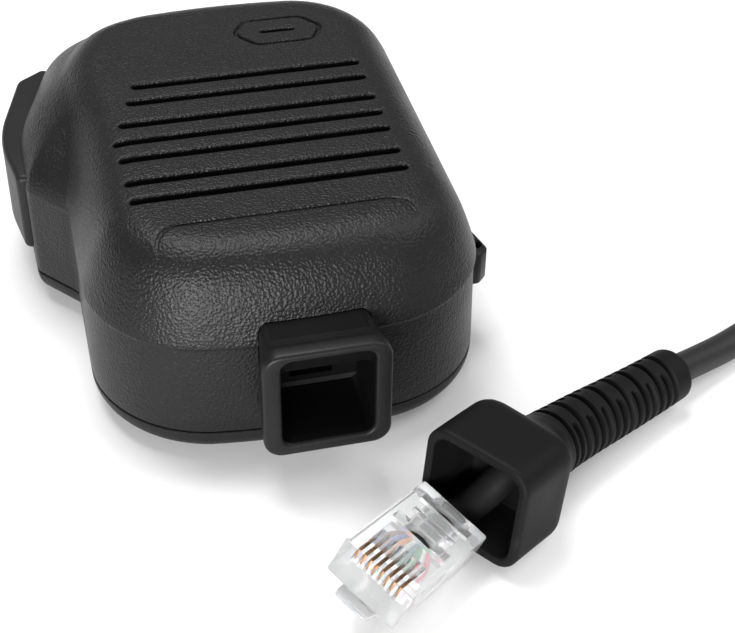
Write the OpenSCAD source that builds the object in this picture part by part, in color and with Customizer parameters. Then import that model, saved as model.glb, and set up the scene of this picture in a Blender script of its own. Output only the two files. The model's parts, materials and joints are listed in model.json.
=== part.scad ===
// Compact hand microphone for a mobile radio, lying on its back, with its unplugged lead beside it.
// +Z is out of the front face, -Y is the connector end and -X is the push-to-talk side.

/* [Body] */
// Distance of the left wall from the collar's middle
left_w = 31; // [29:0.2:33]
// Distance of the right wall from the collar's middle
right_w = 28.6; // [27:0.2:31]
// Height of the front face above the back
body_h = 34; // [32:0.5:36]
// Y of the connector end wall
end_y = -48.6; // [-50:0.2:-47]
// Y of the top end wall
top_y = 35.8; // [34:0.2:39]
// Height of the seam between the front shell and the rear cover
seam_z = 5; // [4.5:0.1:5.5]
// Height of the crease under the rounded shoulder
crease_z = 21; // [20:0.5:22]
// Width of the rounded shoulder between the wall and the flat face
shoulder_w = 10.5; // [9:0.5:12]
// Wall thickness of the shells
wall = 2.2; // [2:0.1:2.6]
// Width of the rounded edge round the back
back_edge_w = 5.5; // [3:0.25:6]

/* [Grille] */
// Y of each slot's centre line
slot_rows = [3.7, -1.0, -7.2, -11.9, -16.6, -22.8, -27.5];
// X of each slot's left end
slot_left = [-18.5, -19.9, -21.8, -23.2, -22.9, -22.8, -22.7];
// X of the slots' right ends
slot_right = 18.5; // [16:0.5:20]
// Width of a slot
slot_w = 1.6; // [1.2:0.1:2]

/* [Push-to-talk] */
// Height of the button bar
ptt_h = 14; // [12:0.5:15]
// Z of the bar's middle
ptt_z = 15; // [14:0.5:16]
// Place of the bar's pivot pin
ptt_pivot = [-29.2, 29.3];
// Radius of the pivot pin
ptt_pin_r = 0.75; // [0.6:0.05:0.9]
// Gap round the bar in its window
ptt_gap = 0.4; // [0.3:0.05:0.6]

/* [Connector] */
// Width of the collar
collar_w = 18.5; // [18:0.25:19.5]
// Z of the collar's centre
collar_z = 16; // [15.5:0.25:16.5]
// Y of the collar's mouth
collar_mouth_y = -56; // [-57:0.5:-55]
// Width of the modular jack
jack_w = 15.4; // [15:0.1:16]
// Height of the modular jack
jack_h = 13; // [12.5:0.1:13.4]

/* [Lead] */
// Diameter of the cable
cable_d = 4.8; // [4.4:0.1:5]
// Outer diameter of the curly stretch
curly_d = 15; // [13:0.5:16]
// Width of the boot's square cup
cup_w = 17; // [16:0.5:18]
// Wall of the boot's cup
cup_wall = 1.4; // [1.2:0.1:1.8]
// Width of the eight-way plug
plug_w = 11.68; // [11.6:0.02:11.8]
// Height of the plug's body
plug_h = 6.2; // [6:0.1:6.8]
// Length of the plug's body
plug_len = 20; // [20:0.5:22]

/* [Hidden] */

// The part's frame has its origin under the middle of the microphone, so everything moves by this
frame_shift = [3.8, 9.7, 0];

// Steps along each rounded corner, and segments round a screw or bore
corner_steps = 5;
$fn = 40;

// Corners of the main outline at the seam, counter-clockwise, each as x, y, radius
main_corners = [
    [-left_w, end_y + 3.4, 19], [-2, end_y, 90], [right_w, end_y + 3.2, 19],
    [right_w, top_y - 2.6, 19], [-1, top_y, 120], [-left_w, top_y - 2.8, 20]
];
// Corners of the hump that carries the button, counter-clockwise
hump_corners = [
    [-29.6, -26, 1], [8, -26, 1], [8, 34.6, 1], [-29.5, 37.2, 11],
    [-37.4, 10.5, 30], [-36.9, -2.4, 2.5], [-30.6, -10, 5]
];
// Inset and height above the crease along the hump's top
hump_edge = [[0, 0.2], [0.4, 1.4], [1.4, 2.6], [4, 5.1], [7, 7.8], [10, 10.1], [13, 11.7], [15.5, 12.4]];

// Corners of the button bar in plan: outside first, then the inside that backs it
ptt_corners = [
    [-33.4, 0, 0.6], [-31.4, 13, 20], [-27.6, 26.6, 1.5], [-28.4, 32.2, 1.6],
    [-31.6, 33.6, 1], [-35.9, 30.4, 2.5], [-40.4, 13, 30], [-38.2, 0, 1.2]
];
// Travel of the bar about its pivot, in degrees
ptt_travel = 2.6;

// Places of the four screws that hold the shells together
screw_places = [[-21, -32], [21, -32], [21.5, 25], [-17, 27]];
screw_r = 1.3;
boss_r = 3.1;
pcb_screw_places = [[-15, -19.7], [15, -19.7], [17.5, 8]];

// Corners of the lanyard eye in plan, its foot inside the shell's wall
eye_corners = [[26, -28.4, 0.3], [30.5, -28.4, 1.2], [32.2, -26.6, 1.3], [31, -21.6, 1], [28.3, -18.8, 0.4],
    [26, -18.8, 0.3]];
eye_low = 10.4;
eye_high = 16.2;
eye_bore = [30.3, -25.4];
eye_bore_r = 1;

// Heights and places inside the body
pcb_z = 8.2;
pcb_t = 1.6;
stud_place = [0, 4];
port_place = [7.6, 16.8];
well_r = 14;
well_depth = 5.4;
switch_face_x = -24.7;

// ---------- functions ----------

function unit(v) = v / norm(v);
function left_of(v) = [-v[1], v[0]];
function flat(p) = [p[0], p[1]];
function turns_left(a, b, c) = cross(b - a, c - b) > 0;

// The corner b between a and c when both edges move inwards by d
function moved_corner(a, b, c, d) =
    let (nu = left_of(unit(b - a)), nw = left_of(unit(c - b)))
    b + d * (nu + nw) / (1 + nu * nw);

// Points along the rounded corner at b
function corner_arc(a, b, c, r) =
    let (
        u = unit(a - b), w = unit(c - b), half = acos(u * w) / 2,
        centre = b + unit(u + w) * r / sin(half),
        first = b + u * r / tan(half) - centre,
        from = atan2(first[1], first[0]),
        sweep = (180 - 2 * half) * (turns_left(a, b, c) ? 1 : -1)
    )
    [for (k = [0:corner_steps]) centre + r * [cos(from + sweep * k / corner_steps),
                                              sin(from + sweep * k / corner_steps)]];

// A closed outline from corners of x, y, radius, moved inwards by inset
function outline(corners, inset = 0) =
    let (
        n = len(corners),
        at = [for (c = corners) flat(c)],
        moved = [for (i = [0:n - 1]) moved_corner(at[(i + n - 1) % n], at[i], at[(i + 1) % n], inset)],
        r = [for (i = [0:n - 1])
            let (out = turns_left(at[(i + n - 1) % n], at[i], at[(i + 1) % n]))
            max(0.25, corners[i][2] + (out ? -inset : inset))]
    )
    [for (i = [0:n - 1]) each corner_arc(moved[(i + n - 1) % n], moved[i], moved[(i + 1) % n], r[i])];

// Inset and height along the shoulder's curve, u from 0 at the crease to 1 at the flat face
function bezier(u, a, b, c, d) =
    pow(1 - u, 3) * a + 3 * pow(1 - u, 2) * u * b + 3 * (1 - u) * u * u * c + pow(u, 3) * d;
function shoulder(u) =
    bezier(u, [0, crease_z], [2.6, crease_z + 8.5], [4.4, body_h], [shoulder_w, body_h]);

// One horizontal ring of a loft
function ring(corners, inset, z) = [for (p = outline(corners, inset)) [p[0], p[1], z]];

// A smooth route through the given points, with n steps between neighbours
function smooth(p, i, t) =
    let (a = p[max(0, i - 1)], b = p[i], c = p[i + 1], d = p[min(len(p) - 1, i + 2)])
    0.5 * (2 * b + (c - a) * t + (2 * a - 5 * b + 4 * c - d) * t * t
        + (3 * b - a - 3 * c + d) * t * t * t);
function smooth_route(p, n) =
    concat([for (i = [0:len(p) - 2]) for (k = [0:n - 1]) smooth(p, i, k / n)], [p[len(p) - 1]]);

// Directions along a route, and a ring of points square to it
function heading(p, i) = unit(p[min(len(p) - 1, i + 1)] - p[max(0, i - 1)]);
function across(d) = unit(cross([0, 0, 1], d));
function tube_ring(p, d, r, n) =
    let (s = across(d), up = cross(d, s))
    [for (k = [0:n - 1]) p + r * (s * cos(360 * (k + 0.5) / n) + up * sin(360 * (k + 0.5) / n))];

// Points of a path of straight and curved moves, each as length and turn to the left in degrees
function moves_end(x, y, h, move) =
    let (bend = move[1], r = bend == 0 ? 0 : move[0] * 180 / (PI * bend))
    bend == 0 ? [x + move[0] * cos(h), y + move[0] * sin(h), h]
        : [x + r * (sin(h + bend) - sin(h)), y - r * (cos(h + bend) - cos(h)), h + bend];
function moves_state(start, moves, n) =
    n == 0 ? start : let (s = moves_state(start, moves, n - 1)) moves_end(s[0], s[1], s[2], moves[n - 1]);
function moves_path(start, moves, z, step) = [
    for (i = [0:len(moves) - 1])
        let (s = moves_state(start, moves, i), n = max(1, ceil(moves[i][0] / step)))
        for (k = [i == 0 ? 0 : 1:n])
            let (e = moves_end(s[0], s[1], s[2], [moves[i][0] * k / n, moves[i][1] * k / n]))
            [e[0], e[1], z]
];

// ---------- shared modules ----------

// A closed solid through rings of equal length, from the lowest to the highest
module loft(rings) {
    n = len(rings[0]);
    m = len(rings);
    points = [for (r = rings) each r];
    sides = [for (j = [0:m - 2]) for (i = [0:n - 1])
        let (a = j * n + i, b = j * n + (i + 1) % n)
        each [[a, a + n, b + n], [a, b + n, b]]];
    low = [[for (i = [0:n - 1]) i]];
    high = [[for (i = [n - 1:-1:0]) (m - 1) * n + i]];
    polyhedron(points, concat(sides, low, high), convexity = 10);
}

// Joins curved forms into one closed skin
module one_skin() {
    resize([0, 0, 0]) children();
}

// A round tube along a route
module sweep_tube(route, r, n) {
    loft([for (i = [0:len(route) - 1]) tube_ring(route[i], heading(route, i), r, n)]);
}

// A slot with round ends, cut upwards from z0 to z1
module slot_prism(x0, x1, y, w, z0, z1) {
    translate([x0 + w / 2, y - w / 2, z0]) cube([x1 - x0 - w, w, z1 - z0]);
    for (x = [x0 + w / 2, x1 - w / 2]) translate([x, y, z0]) cylinder(h = z1 - z0, d = w, $fn = 24);
}

module prism(corners, inset, z0, z1) {
    translate([0, 0, z0]) linear_extrude(z1 - z0) polygon(outline(corners, inset));
}

module in_frame() {
    translate(frame_shift) children();
}

function box_corners(x0, x1, y0, y1, r) = [[x0, y0, r], [x1, y0, r], [x1, y1, r], [x0, y1, r]];

// ---------- microphone ----------

collar_corners = box_corners(-collar_w / 2, collar_w / 2, -collar_w / 2, collar_w / 2, 2.8);

// The outer form of the main body, made smaller by t on every side
module main_form(t, z0) {
    steps = 7;
    wall_rings = [ring(main_corners, t, z0),
        ring(main_corners, t + 0.3, crease_z - 0.3)];
    top_rings = [for (k = [0:steps])
        let (s = shoulder(k / steps))
        ring(main_corners, min(s[0], shoulder_w - 0.01) + t * (1 - 0.25 * k / steps),
            s[1] - t * k / steps)];
    loft(concat(wall_rings, top_rings));
}

// The hump's corners at a step up its top: its lower end leans back
function hump_at(e) = [for (k = [0:6]) let (c = hump_corners[k], back = k > 3 ? 0.45 * e : 0)
    [c[0], c[1] + back, c[2] + back]];

// The lower hump on the button's side, made smaller by t
module hump_form(t, z0) {
    loft(concat([ring(hump_corners, t, z0)], [for (e = hump_edge)
        ring(hump_at(e[0]), e[0] + t * (1 - e[0] / 40), e[1] + crease_z - t * e[0] / 16)]));
}

module ptt_window() {
    loft([for (e = [[0, -1], [0, 1]])
        ring(ptt_corners, -ptt_gap, ptt_z + e[1] * (ptt_h / 2 + ptt_gap))]);
    // Room for the bar's lower end to swing
    translate([-39.6, -1.1, ptt_z - ptt_h / 2 - ptt_gap]) cube([8, 3, ptt_h + 2 * ptt_gap]);
}

label_corners = box_corners(-20.6, 17.2, -42.8, -34.2, 4.2);
port_corners = [[3.2, 12.4, 2.4], [13.2, 12.4, 2.4], [15.4, 16.8, 2.2], [12.2, 21.2, 2.4],
    [2.4, 21.2, 2.4], [-0.2, 16.8, 2.2]];

// The label's recess is deepest at its upper edge and runs out down the shoulder
module label_floor(z0) {
    translate([0, -0.55, 0]) main_form(0.5, z0);
}

// Bosses, lugs and posts inside the front shell
module shell_posts() {
    for (p = screw_places)
        translate([p[0], p[1], seam_z + 0.4]) cylinder(h = body_h - seam_z, r = boss_r);
    for (p = pcb_screw_places)
        translate([p[0], p[1], pcb_z + pcb_t]) cylinder(h = body_h - pcb_z, r = 2.2);
    // Lugs that carry the button's pivot pin
    for (z = [ptt_z - ptt_h / 2 - 3, ptt_z + ptt_h / 2 + 0.7])
        translate([ptt_pivot[0] + 0.6, ptt_pivot[1] - 0.4, z]) cylinder(h = 2.3, r = 2.3);
    // Ring that holds the capsule
    translate([port_place[0], port_place[1], body_h - wall - 5]) cylinder(h = 5.4, r = 7);
}

module shell_skin() {
    one_skin() difference() {
        union() {
            difference() {
                union() {
                    main_form(0, seam_z + 0.15);
                    hump_form(0, seam_z + 0.15);
                }
                main_form(wall, seam_z - 1);
                hump_form(wall, seam_z - 1);
            }
            intersection() {
                shell_posts();
                union() {
                    main_form(wall / 2, seam_z + 0.15);
                    hump_form(wall / 2, seam_z + 0.15);
                }
            }
        }
        translate([port_place[0], port_place[1], body_h - wall - 6]) cylinder(h = 6, r = 5.9);
        for (i = [0:len(slot_rows) - 1])
            slot_prism(slot_left[i], slot_right, slot_rows[i], slot_w, body_h - 4, body_h + 1);
        difference() {
            prism(label_corners, 0, crease_z, body_h + 1);
            label_floor(seam_z);
        }
        difference() {
            prism(port_corners, 0, body_h - 0.5, body_h + 1);
            prism(port_corners, 0.7, body_h - 1, body_h + 2);
        }
        slot_prism(port_place[0] - 2.9, port_place[0] + 2.9, port_place[1] - 0.5, 1, body_h - 4, body_h + 1);
        ptt_window();
        translate([0, end_y + 6, collar_z]) rotate([90, 0, 0]) prism(collar_corners, 1, 0, 8);
        // Seat of the lanyard eye
        prism(eye_corners, -0.1, eye_low - 0.1, eye_high + 0.1);
    }
}

module front_shell() {
    color([0.2, 0.2, 0.21]) in_frame() difference() {
        shell_skin();
        for (p = screw_places)
            translate([p[0], p[1], seam_z]) cylinder(h = 12, r = screw_r - 0.15);
        for (p = pcb_screw_places)
            translate([p[0], p[1], pcb_z]) cylinder(h = 8, r = 0.85);
        translate([ptt_pivot[0], ptt_pivot[1], ptt_z - ptt_h / 2 - 2.6])
            cylinder(h = ptt_h + 5.2, r = ptt_pin_r);
    }
}

// Under the crease the cover follows the same outline, and its lower edge is rounded
module cover_form(t, top) {
    steps = 5;
    for (c = [main_corners, hump_corners]) loft(concat(
        [for (k = [0:steps]) let (a = 90 * k / steps)
            ring(c, t + back_edge_w * (1 - sin(a)), t + (top - t - 0.4) * (1 - cos(a)))],
        [ring(c, t, top)]));
}

module rear_cover() {
    color([0.17, 0.17, 0.18]) in_frame() difference() {
        union() {
            one_skin() difference() {
                cover_form(0, seam_z - 0.15);
                cover_form(2, seam_z + 1);
            }
            translate([stud_place[0], stud_place[1], 0.5]) cylinder(h = well_depth + 1.2, r = well_r + 1.8);
            for (p = screw_places)
                translate([p[0], p[1], 1]) cylinder(h = seam_z - 1.15, r = boss_r + 0.9);
        }
        translate([stud_place[0], stud_place[1], -1]) cylinder(h = well_depth + 1, r = well_r);
        translate([stud_place[0], stud_place[1], 0]) cylinder(h = 12, r = 1.6);
        for (p = screw_places) {
            translate([p[0], p[1], -1]) cylinder(h = 3.2, r = 2.7);
            translate([p[0], p[1], 0]) cylinder(h = 9, r = screw_r + 0.2);
        }
    }
}

module case_gasket() {
    color([0.05, 0.05, 0.05]) in_frame() translate([0, 0, seam_z - 0.15]) linear_extrude(0.3)
        difference() {
            union() {
                polygon(outline(main_corners, 0.9));
                polygon(outline(hump_corners, 0.9));
            }
            union() {
                polygon(outline(main_corners, 1.9));
                polygon(outline(hump_corners, 1.9));
            }
        }
}

module screw(head_r, head_h, shank_r, shank_h) {
    difference() {
        union() {
            cylinder(h = head_h, r = head_r, $fn = 24);
            translate([0, 0, head_h]) cylinder(h = shank_h, r = shank_r, $fn = 24);
        }
        for (a = [0, 90]) rotate(a) translate([-head_r * 0.6, -0.25, -1]) cube([head_r * 1.2, 0.5, 1.7]);
    }
}

module case_screws() {
    color("gainsboro") in_frame() for (p = screw_places)
        translate([p[0], p[1], 0.7]) screw(2.4, 1.5, screw_r - 0.2, 12);
}

module connector_collar() {
    // Mouth and throat openings: the mouth's upper side slopes down to the throat
    mouth = box_corners(-6.8, 7, -7.4, 8.2, 1.8);
    throat = box_corners(-6.7, 6.9, -7.2, 4.4, 1.2);
    color([0.17, 0.17, 0.17]) in_frame() translate([0, 0, collar_z]) rotate([90, 0, 0])
        one_skin() difference() {
            union() {
                loft([for (e = [[1.3, 44], [1.15, 47.2], [0.4, 53], [0, 54.2], [0, 55.3], [0.2, 55.8], [0.7, 56]])
                    ring(collar_corners, e[0], e[1] - 56 - collar_mouth_y)]);
                translate([-10.4, -9, 44]) cube([20.8, 14.4, 0.8]);
            }
            loft([ring(throat, 0, 40), ring(throat, 0, 53.4), ring(mouth, 0.2, -collar_mouth_y - 0.4),
                ring(mouth, 0, -collar_mouth_y + 0.02)]);
        }
}

module label_plate() {
    color([0.14, 0.14, 0.14]) in_frame() one_skin() difference() {
        intersection() {
            prism(label_corners, 0.35, crease_z, body_h);
            main_form(0.15, seam_z);
        }
        label_floor(seam_z - 1);
    }
}

module ptt_button() {
    low = ptt_z - ptt_h / 2;
    high = ptt_z + ptt_h / 2;
    color([0.16, 0.16, 0.17]) in_frame() difference() {
        one_skin() {
            loft([ring(ptt_corners, 0.9, low), ring(ptt_corners, 0.25, low + 0.25),
                ring(ptt_corners, 0, low + 0.9), ring(ptt_corners, 0, high - 0.9),
                ring(ptt_corners, 0.25, high - 0.25), ring(ptt_corners, 0.9, high)]);
            // Lip behind the wall that keeps the bar in
            translate([-33.2, -2.2, low + 2]) cube([1.3, 5, ptt_h - 4]);
            translate([-34.4, 1.2, low + 2]) cube([2.5, 1.6, ptt_h - 4]);
        }
        translate([ptt_pivot[0], ptt_pivot[1], low - 1]) cylinder(h = ptt_h + 2, r = ptt_pin_r + 0.05);
    }
}

module ptt_pivot_pin() {
    color("silver") in_frame() translate([ptt_pivot[0], ptt_pivot[1], ptt_z - ptt_h / 2 - 2.4])
        cylinder(h = ptt_h + 4.8, r = ptt_pin_r - 0.01);
}

// Leaf on the bar's inside, with the tongue that pushes it back
module ptt_return_leaf() {
    color("goldenrod") in_frame() translate([-31.4, 13, ptt_z - 3]) rotate(-15.6) {
        translate([0, 2.2, 0]) cube([0.3, 9, 6]);
        translate([0, 2.2, 0.6]) rotate(-38) cube([4.6, 0.3, 4.8]);
    }
}

// Rubber skirt between the bar and the switch
module ptt_seal() {
    color([0.1, 0.1, 0.1]) in_frame() translate([-25.9, 8, ptt_z]) rotate([0, 90, 0]) difference() {
        cylinder(h = 1.2, r = 4.4);
        translate([0, 0, -1]) cylinder(h = 4, r = 2.1);
    }
}

module ptt_switch() {
    color([0.12, 0.12, 0.13]) in_frame() {
        difference() {
            translate([switch_face_x, 3.5, ptt_z - 4.5]) cube([6, 9, 9]);
            translate([switch_face_x - 1, 8, ptt_z]) rotate([0, 90, 0]) cylinder(h = 4, r = 1.45);
        }
        // Legs down to the board
        for (y = [4.6, 11]) translate([switch_face_x + 2.5, y - 0.35, pcb_z + pcb_t])
            cube([0.8, 0.7, ptt_z - 4.5 - pcb_z - pcb_t]);
    }
}

module switch_plunger() {
    color("ivory") in_frame() translate([-31.9, 8, ptt_z]) rotate([0, 90, 0])
        cylinder(h = 8.7, r = 1.4);
}

module main_pcb() {
    color([0.05, 0.06, 0.05]) in_frame() difference() {
        translate([0, 0, pcb_z]) linear_extrude(pcb_t) difference() {
            intersection() {
                polygon(outline(main_corners, wall + 0.8));
                translate([-25.4, -43.6]) square([51, 65]);
            }
            for (p = screw_places) translate(p) circle(r = boss_r + 1.4);
            translate(stud_place) circle(r = 4.6);
        }
        for (p = pcb_screw_places) translate([p[0], p[1], 0]) cylinder(h = 20, r = 1.15);
    }
}

module pcb_screws() {
    color("gainsboro") in_frame() for (p = pcb_screw_places)
        translate([p[0], p[1], pcb_z - 1.2]) screw(1.9, 1.2, 0.84, 6);
}

module preamp_parts() {
    top = pcb_z + pcb_t;
    color([0.09, 0.09, 0.1]) in_frame() {
        translate([-7, -18, top]) cube([5, 6.2, 1.6]);
        for (y = [-19, -14, -9]) translate([4, y, top]) cylinder(h = 5.4, r = 2);
        for (k = [0:5]) translate([-18, -12 + 2.4 * k, top]) cube([2, 1.2, 0.7]);
    }
}

module mic_capsule() {
    color("silver") in_frame() translate([port_place[0], port_place[1], body_h - wall - 4.8])
        cylinder(h = 4.5, r = 4.85);
}

module capsule_holder() {
    color([0.08, 0.08, 0.08]) in_frame() translate([port_place[0], port_place[1], body_h - wall - 5.6])
        difference() {
            cylinder(h = 5.6, r = 5.85);
            translate([0, 0, 0.8]) cylinder(h = 6, r = 4.9);
            for (x = [-1.6, 1.6]) translate([x, 0, -1]) cylinder(h = 3, r = 0.9, $fn = 24);
        }
}

module capsule_leads() {
    low = pcb_z + pcb_t;
    for (side = [-1, 1]) color(side > 0 ? "firebrick" : "dimgray") in_frame()
        translate([port_place[0] + 1.6 * side, port_place[1], low])
            cylinder(h = body_h - wall - 4.8 - low, r = 0.5, $fn = 16);
}

module port_screen() {
    color([0.05, 0.05, 0.05]) in_frame() translate([port_place[0], port_place[1], body_h - wall - 0.3])
        cylinder(h = 0.3, r = 4.8);
}

// Cloth that lies against the inside of the slots
module grille_cloth() {
    color([0.03, 0.03, 0.03]) in_frame() one_skin() difference() {
        intersection() {
            translate([-24.5, -28.8, crease_z]) cube([44.5, 34.8, 12]);
            main_form(wall + 0.02, seam_z);
        }
        main_form(wall + 0.7, seam_z - 1);
        for (p = pcb_screw_places) translate([p[0], p[1], 0]) cylinder(h = 40, r = 2.5);
    }
}

module modular_jack() {
    back_y = -29.8;
    front_y = -43.8;
    half = jack_w / 2;
    color([0.06, 0.06, 0.06]) in_frame() difference() {
        translate([-half, front_y, collar_z - 6.2]) cube([jack_w, back_y - front_y, jack_h - 0.4]);
        // The port, with its narrower step for the latch
        translate([-5.95, front_y - 1, collar_z - 2.9]) cube([11.9, 13, 6.9]);
        translate([-3.2, front_y - 1, collar_z - 5.2]) cube([6.4, 13, 3]);
    }
}

module jack_contacts() {
    color("gold") in_frame() for (k = [-3.5:3.5])
        translate([k * 1.02, -43, collar_z + 3.9]) rotate([-10, 0, 0])
            translate([-0.2, 0, -0.3]) cube([0.4, 9.5, 0.3]);
}

module lanyard_eye() {
    color([0.16, 0.16, 0.16]) in_frame() difference() {
        one_skin() loft([ring(eye_corners, 0, eye_low), ring(eye_corners, 0, eye_high - 0.5),
            ring(eye_corners, 0.5, eye_high)]);
        translate([eye_bore[0], eye_bore[1], eye_low - 2]) cylinder(h = 12, r = eye_bore_r);
    }
}

module hanger_stud() {
    color("silver") in_frame() translate([stud_place[0], stud_place[1], 0]) difference() {
        union() {
            translate([0, 0, 0.4]) cylinder(h = 1.8, r = 6);
            translate([0, 0, 2.2]) cylinder(h = well_depth - 2.2, r = 3.1);
        }
        translate([0, 0, 1.4]) cylinder(h = 8, r = 1.3);
    }
}

module stud_screw() {
    color("gainsboro") in_frame() translate([stud_place[0], stud_place[1], well_depth + 1.7 + 0.5 + 1.4])
        mirror([0, 0, 1]) screw(2.8, 1.4, 1.28, 5.4);
}

module stud_washer() {
    color("silver") in_frame() translate([stud_place[0], stud_place[1], well_depth + 1.7]) difference() {
        cylinder(h = 0.5, r = 3.6);
        translate([0, 0, -1]) cylinder(h = 3, r = 1.7);
    }
}

// ---------- lead ----------

// Each plug is made lying on its back along +X from its nose, contacts up, then set in place
plug_place = [-1.3, -84.7, 10.2];
plug_turn = [20, -15.5, 42.5];
radio_plug_place = [145, -2, plug_h / 2 + 0.05];
radio_plug_turn = [180, 0, -90];
latch_rest = 6;
latch_hinge = [1.2, 0, -plug_h / 2 - 0.15];

module place_plug(place, turn) {
    in_frame() translate(place) rotate([0, 0, turn[2]]) rotate([0, -turn[1], 0]) rotate([turn[0], 0, 0])
        children();
}

module plug_shape() {
    half = plug_w / 2;
    difference() {
        translate([0, -half, -plug_h / 2]) cube([plug_len, plug_w, plug_h]);
        // Slots of the eight contacts
        for (k = [-3.5:3.5]) translate([-1, k * 1.02 - 0.25, plug_h / 2 - 2.2]) cube([7.4, 0.5, 3]);
        // Pressed windows behind the contacts
        translate([9.6, -4.6, plug_h / 2 - 1.4]) cube([2, 9.2, 3]);
        translate([16.6, -4.2, plug_h / 2 - 1.2]) cube([1.5, 8.4, 3]);
        // Cavity for the cable
        translate([11.5, 0, -0.2]) rotate([0, 90, 0]) cylinder(h = 12, r = cable_d / 2);
        translate([5, -4.4, -1.4]) cube([7, 8.8, 1.4]);
        // Step round the nose
        translate([-1, -half - 1, plug_h / 2 - 0.5]) cube([1.4, plug_w + 2, 1]);
    }
    // Root that the latch bends at
    translate([0, -3, -plug_h / 2 - 0.3]) cube([0.8, 6, 0.35]);
}

module plug_blades() {
    for (k = [-3.5:3.5]) translate([0.7, k * 1.02 - 0.15, plug_h / 2 - 2.2]) cube([2.6, 0.3, 1.8]);
}

// The latch tongue, turned down from the body by its rest angle
module latch_shape() {
    translate(latch_hinge) rotate([0, latch_rest, 0]) {
        translate([0, -3.1, -1.05]) cube([4.6, 6.2, 1]);
        translate([4.6, -1.6, -1.05]) cube([10, 3.2, 1]);
        rotate([-90, 0, 0]) translate([0, 0.55, -3.1]) cylinder(h = 6.2, r = 0.55, $fn = 24);
    }
}

module wires_shape() {
    for (k = [-3.5:3.5]) translate([5.3, k * 1.02, -0.7]) rotate([0, 90, 0])
        cylinder(h = 6, r = 0.42, $fn = 16);
}

module plug_body() { color([0.9, 0.93, 0.95]) place_plug(plug_place, plug_turn) plug_shape(); }
module plug_contacts() { color("gold") place_plug(plug_place, plug_turn) plug_blades(); }
module plug_latch() { color([0.9, 0.93, 0.95]) place_plug(plug_place, plug_turn) latch_shape(); }
module plug_wires() { color("orange") place_plug(plug_place, plug_turn) wires_shape(); }
module radio_plug_body() { color([0.9, 0.93, 0.95]) place_plug(radio_plug_place, radio_plug_turn) plug_shape(); }
module radio_plug_contacts() { color("gold") place_plug(radio_plug_place, radio_plug_turn) plug_blades(); }
module radio_plug_latch() { color([0.9, 0.93, 0.95]) place_plug(radio_plug_place, radio_plug_turn) latch_shape(); }
module radio_plug_wires() { color("orange") place_plug(radio_plug_place, radio_plug_turn) wires_shape(); }

// Middle line of the boot: cup, hood, then the ribbed sleeve that bends down to the floor
boot_line = [
    [15.8, -73, 9.9], [19.7, -70.2, 9.3], [23.6, -67.4, 8.6], [27.6, -64.7, 7.9], [31.6, -61.9, 7.1],
    [37.6, -58.5, 6.3], [43.6, -55.4, 5.6], [49.8, -52.2, 5], [56.2, -48.8, 4.5]
];

// Middle line of the cable from the plug, through the boot, to the curly stretch
lead_route = [
    [6.86, -77.13, 6.92], [8.92, -75.24, 6.14], [11.05, -73.29, 5.34], [13.2, -71.4, 4.6], [16, -69.6, 4.3],
    [19.4, -68, 5], [23.4, -66.4, 6.8], [27.6, -64.7, 7.9], [31.6, -61.9, 7.1], [37.6, -58.5, 6.3],
    [43.6, -55.4, 5.6], [49.8, -52.2, 5], [56.2, -48.8, 4.5], [61, -46.3, 3.6], [66, -43.8, 2.8],
    [71, -41.2, 2.4], [78, -37.7, 2.4], [85, -34.1, 2.4], [92, -30.5, 2.4]
];

// The curly stretch starts at x, y, heading and follows these lengths and turns to the left
curly_start = [92, -30.5, 27.2];
curly_moves = [[16, 0], [37.3, 62.8], [84.8, -180], [58, 0]];

// Middle line of the cable from the curly stretch to the radio plug
tail_route = [
    [178.6, -51, 2.4], [178.6, -57, 2.4], [177.4, -63.5, 2.4], [173.6, -69, 2.4], [168, -72.7, 2.4],
    [161.8, -74, 2.4], [155.6, -72.7, 2.4], [150, -69, 2.4], [146.2, -63.5, 2.4], [145, -57, 2.4],
    [145, -50, 2.5], [145, -44, 2.8], [145, -38, 3.2], [145, -30, 3.35], [145, -22.5, 3.35], [145, -13.7, 3.35]
];

// Boot sections: distance from the mouth, half width, corner radius
sleeve_start = 18.4;
sleeve_end = 47;
rib_step = 3.44;
function sleeve_r(s) = 5.05 - 0.9 * (s - sleeve_start) / (sleeve_end - sleeve_start);
cup_out = [[0, cup_w / 2 - 0.5, 2.9], [0.6, cup_w / 2, 3.4], [9.8, cup_w / 2, 3.4],
    [11.1, cup_w / 2 - 0.3, 3.4], [12.5, 7.2, 3.8], [14.2, 5.9, 4.6], [16, 5.3, 5.2], [18.2, 5.1, 5.05]];
rib_out = [for (k = [0:7]) let (s = sleeve_start + 0.6 + rib_step * k)
    each [[s, sleeve_r(s)], [s + 0.2, sleeve_r(s) - 0.8], [s + 1.3, sleeve_r(s) - 0.8], [s + 1.5, sleeve_r(s)]]];
cup_in = [[-1, cup_w / 2 - cup_wall, 2.2], [8.6, cup_w / 2 - cup_wall - 0.2, 2.2], [10, 6, 2.4],
    [10.6, 2.6, 2.4]];

function route_at(p, s, i = 0) =
    let (step = norm(p[i + 1] - p[i]))
    s <= step || i == len(p) - 2 ? [p[i] + (p[i + 1] - p[i]) * s / step, unit(p[i + 1] - p[i])]
        : route_at(p, s - step, i + 1);
function section(at, half, r) =
    let (side = across(at[1]), up = cross(at[1], side))
    [for (q = outline(box_corners(-half, half, -half, half, min(r, half - 0.02)))) at[0] + q[0] * side + q[1] * up];

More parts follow.
